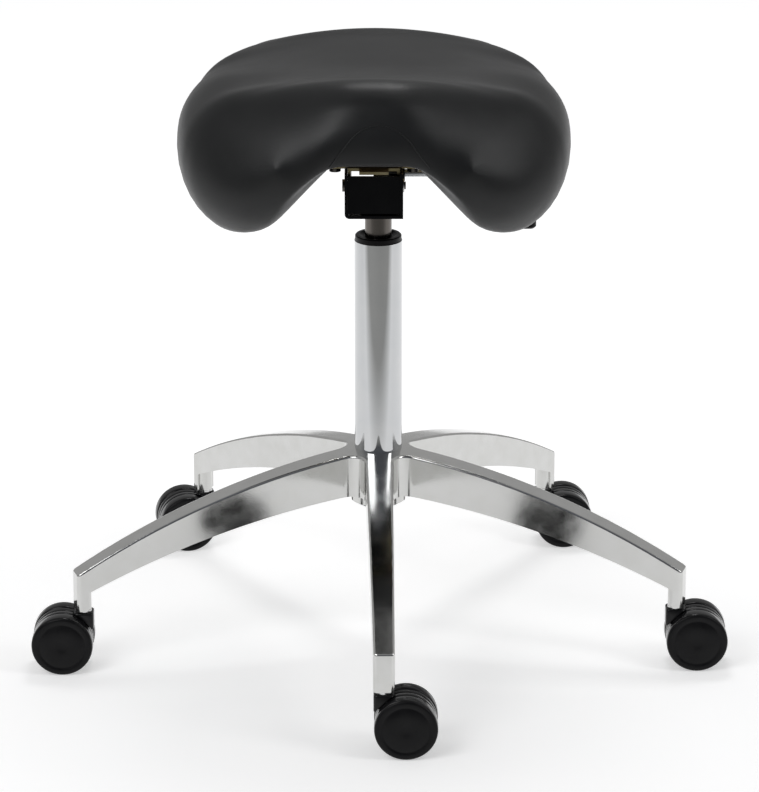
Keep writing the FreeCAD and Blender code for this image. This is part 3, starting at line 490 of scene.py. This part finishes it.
# Turned outlines, as radius and distance out from the castor's middle
WHEEL_FACE = [
    (0, 24.7), (5.4, 24.7), (6.4, 25.1), (22.6, 25.1), (23.3, 24.5), (24.5, 24.5), (25.2, 25.2),
    (28.6, 25.3), (30.2, 25.0), (31.2, 24.2), (31.8, 22.9),
]
WHEEL_TREAD = [(32.0, 21.4), (32.0, 11.2), (31.7, 10.0), (30.8, 9.2), (29.6, 8.9)]
WHEEL_INSIDE = [(28.0, 8.9), (28.0, 23.0), (8.0, 23.0), (8.0, 8.9), (4.06, 8.9), (4.06, 23.0), (0, 23.0)]
HOOD_DISC = [
    (4.1, -8.5), (29.0, -8.5), (30.6, -8.2), (31.3, -7.2), (31.4, -6.0), (31.4, -1.4), (31.1, -0.6),
    (29.6, -0.3), (29.6, 0.3), (31.1, 0.6), (31.4, 1.4), (31.4, 6.0), (31.3, 7.2), (30.6, 8.2),
    (29.0, 8.5), (4.1, 8.5),
]
TREAD_DEPTH = 3.5
TREAD_SLACK = 0.1
CREASE = 50
TURNED_STEPS = 72

# Neck: half width, corner radius, heights and insets of its rounded top, lowest point
NECK_HALF = 10.5
NECK_ROUND = 4.0
NECK_RINGS = [(61.6, 0.0), (62.7, 0.4), (63.4, 1.2), (63.7, 2.2)]
NECK_LOW = 46.0
CORNER_STEPS = 6
CORNER_LEAST = 0.5

# Web that joins the neck to the disc
WEB_HALF = (9.5, 7.4)
WEB_ROUND = 1.0
WEB_RINGS = [(60.0, 0.0)]
WEB_DROP = 4.0

WHEEL_CLEAR = 33.3
TRAIL = 22.0
WHEEL_R = 32.0
CASTORS = ("front", "front_right", "rear_right", "rear_left", "front_left")

joint_of = {j["name"]: j for j in frame["joints"]}


def lathe(points, faces, profile, centre, axis, closed=False):
    """Turns (radius, distance along the axis) points about an axis through the centre."""
    side = axis.orthogonal().normalized()
    other = axis.cross(side)
    rows = []
    for r, along in profile:
        base = centre + axis * along
        if r == 0:
            rows.append([len(points)] * TURNED_STEPS)
            points.append(tuple(base))
            continue
        rows.append(list(range(len(points), len(points) + TURNED_STEPS)))
        for k in range(TURNED_STEPS):
            a = 2 * pi * k / TURNED_STEPS
            points.append(tuple(base + r * (side * cos(a) + other * sin(a))))
    pairs = list(zip(rows, rows[1:]))
    if closed:
        pairs.append((rows[-1], rows[0]))
    for low, high in pairs:
        for k in range(TURNED_STEPS):
            n = (k + 1) % TURNED_STEPS
            quad = []
            for v in (low[k], low[n], high[n], high[k]):
                if v not in quad:
                    quad.append(v)
            faces.append(tuple(quad))


def set_faces_right(obj):
    """Turns all faces outward and keeps the edges above the crease angle sharp."""
    bm = bmesh.new()
    bm.from_mesh(obj.data)
    bmesh.ops.recalc_face_normals(bm, faces=bm.faces)
    bm.to_mesh(obj.data)
    bm.free()
    obj.data.set_sharp_from_angle(angle=radians(CREASE))


def castor_frame(place):
    """Stem foot and the directions of trail and axle of one castor, in millimetres."""
    stem = Vector(joint_of["castor_swivel_" + place]["pos_m"]) / MM
    axle = Vector(joint_of["wheel_spin_a_" + place]["pos_m"]) / MM
    trail = (axle - stem).to_2d().normalized().to_3d()
    return stem, axle, trail, Vector((0, 0, 1)).cross(trail)


def make_wheel(place, side, sign):
    """One wheel, with a glossier tread; sign says on which side of the hood it is."""
    _, axle, _, across = castor_frame(place)
    points, faces = [], []
    lathe(points, faces, WHEEL_FACE + WHEEL_TREAD + WHEEL_INSIDE, axle, across * sign)
    wheel = mesh_piece(f"turned_wheel_{side}_{place}", points, faces, nylon)
    wheel.data.materials.append(tread)
    low = WHEEL_TREAD[-1][1] - TREAD_SLACK
    high = WHEEL_FACE[-2][1]
    for poly in wheel.data.polygons:
        out = (poly.center / MM - axle).dot(across * sign)
        radius = (poly.center / MM - axle - across * sign * out).length
        if low < out < high and radius > WHEEL_R - TREAD_DEPTH:
            poly.material_index = 1
    set_faces_right(wheel)
    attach(wheel, f"wheel_{side}_{place}")
    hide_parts(f"castor_wheel_{side}_{place}")


def rounded_block(points, faces, half_x, half_y, r, rings, drop):
    """A rounded upright block about the stem; its bottom follows the wheels."""
    outline = []
    for quarter in range(4):
        for k in range(CORNER_STEPS + 1):
            a = pi / 2 * (quarter + k / CORNER_STEPS)
            outline.append((cos(a), sin(a), quarter))
    loops = []
    for ring in [None] + rings:
        height, inset = ring if ring else (None, 0.0)
        loop = []
        for c, s, quarter in outline:
            sx = 1 if quarter in (0, 3) else -1
            sy = 1 if quarter in (0, 1) else -1
            corner = max(r - inset, CORNER_LEAST)
            x = sx * (half_x - inset - corner) + corner * c
            y = sy * (half_y - inset - corner) + corner * s
            z = height
            if z is None:
                z = max(NECK_LOW, WHEEL_R + sqrt(WHEEL_CLEAR ** 2 - (x - TRAIL) ** 2) - drop)
            loop.append((x, y, z))
        loops.append(loop)
    first = len(points)
    count = len(outline)
    for loop in loops:
        points.extend(loop)
    for i in range(len(loops) - 1):
        for k in range(count):
            a = first + i * count + k
            b = first + i * count + (k + 1) % count
            faces.append((a, b, b + count, a + count))
    faces.append(tuple(range(first, first + count))[::-1])
    faces.append(tuple(range(first + (len(loops) - 1) * count, first + len(loops) * count)))


def make_hood(place):
    """The castor's hood: neck, web and grooved disc."""
    stem, axle, trail, across = castor_frame(place)
    block, faces = [], []
    rounded_block(block, faces, NECK_HALF, NECK_HALF, NECK_ROUND, NECK_RINGS, 0.0)
    rounded_block(block, faces, *WEB_HALF, WEB_ROUND, WEB_RINGS, WEB_DROP)
    points = []
    for x, y, z in block:
        points.append(tuple(Vector((stem.x, stem.y, z)) + trail * x + across * y))
    lathe(points, faces, HOOD_DISC, axle, across, closed=True)
    hood = mesh_piece("grooved_hood_" + place, points, faces, tread)
    set_faces_right(hood)
    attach(hood, "castor_" + place)
    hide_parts("castor_hood_" + place)


for place in CASTORS:
    make_wheel(place, "a", -1)
    make_wheel(place, "b", 1)
    make_hood(place)


# Floor, light and camera

def flat_sheet(name, xs, ys, z, mat):
    points = [(xs[0], ys[0], z), (xs[1], ys[0], z), (xs[1], ys[1], z), (xs[0], ys[1], z)]
    return mesh_piece(name, points, [(0, 1, 2, 3)], mat)


def make_floor():
    """A white floor that turns grey in front of the stool, where only bright metal sees it."""
    mat, tree, shader = new_material("floor_white")
    coords = add_node(tree, "ShaderNodeTexCoord")
    parts = add_node(tree, "ShaderNodeSeparateXYZ")
    link(tree, coords, "Object", parts, "Vector")
    near = ramp(tree, parts, *FLOOR_TURNS, 0.0, 1.0, "Y")
    shade = blend_colour(tree, near, FLOOR_GREY, FLOOR_PALE)
    tree.links.new(shade.outputs[2], shader.inputs["Base Color"])
    tree.links.new(shade.outputs[2], shader.inputs["Emission Color"])
    behind = ramp(tree, parts, *GLOW_TURNS, GLOW_NEAR, GLOW_FAR, "Y")
    link(tree, behind, "Result", shader, "Emission Strength")
    shader.inputs["Roughness"].default_value = 0.85
    shader.inputs["Specular IOR Level"].default_value = 0.2
    span = (-FLOOR_HALF, FLOOR_HALF)
    flat_sheet("floor", span, span, 0, mat)


def make_flag():
    """A narrow dark card over the stool, which the front leg's flat top reflects."""
    mat, _, shader = new_material("flag_black")
    shader.inputs["Base Color"].default_value = (0.01, 0.01, 0.01, 1)
    flat_sheet("flag", CARD_X, CARD_Y, CARD_Z, mat)


def make_world():
    """A white studio whose camera side is darker, so that bright metal shows its form."""
    world = bpy.data.worlds.new("studio")
    bpy.context.scene.world = world
    world.use_nodes = True
    tree = world.node_tree
    coords = add_node(tree, "ShaderNodeTexCoord")
    parts = add_node(tree, "ShaderNodeSeparateXYZ")
    link(tree, coords, "Generated", parts, "Vector")
    depth = ramp(tree, parts, *WORLD_TURNS, 0.0, 1.0, "Y")
    shade = blend_colour(tree, depth, WORLD_GREY, WORLD_PALE)
    background = tree.nodes["Background"]
    tree.links.new(shade.outputs[2], background.inputs["Color"])
    background.inputs["Strength"].default_value = 1.0


def area_light(name, at, size, power):
    light = bpy.data.lights.new(name, "AREA")
    light.shape = "RECTANGLE"
    light.size, light.size_y = size
    light.energy = power
    obj = bpy.data.objects.new(name, light)
    obj.location = at
    obj.rotation_mode = "QUATERNION"
    obj.rotation_quaternion = (Vector(LIGHT_AIM) - Vector(at)).to_track_quat("-Z", "Y")
    bpy.context.scene.collection.objects.link(obj)


make_flag()
make_floor()
make_world()
for row in LIGHTS:
    area_light(*row)

bpy.context.scene.view_settings.view_transform = "Standard"

camera = bpy.data.cameras.new("camera")
camera.lens = CAMERA_LENS
camera.clip_end = 100.0
camera_obj = bpy.data.objects.new("camera", camera)
camera_obj.location = Vector(CAMERA_AT) * MM
camera_obj.rotation_euler = (radians(90 - CAMERA_DOWN), 0, 0)
bpy.context.scene.collection.objects.link(camera_obj)
bpy.context.scene.camera = camera_obj
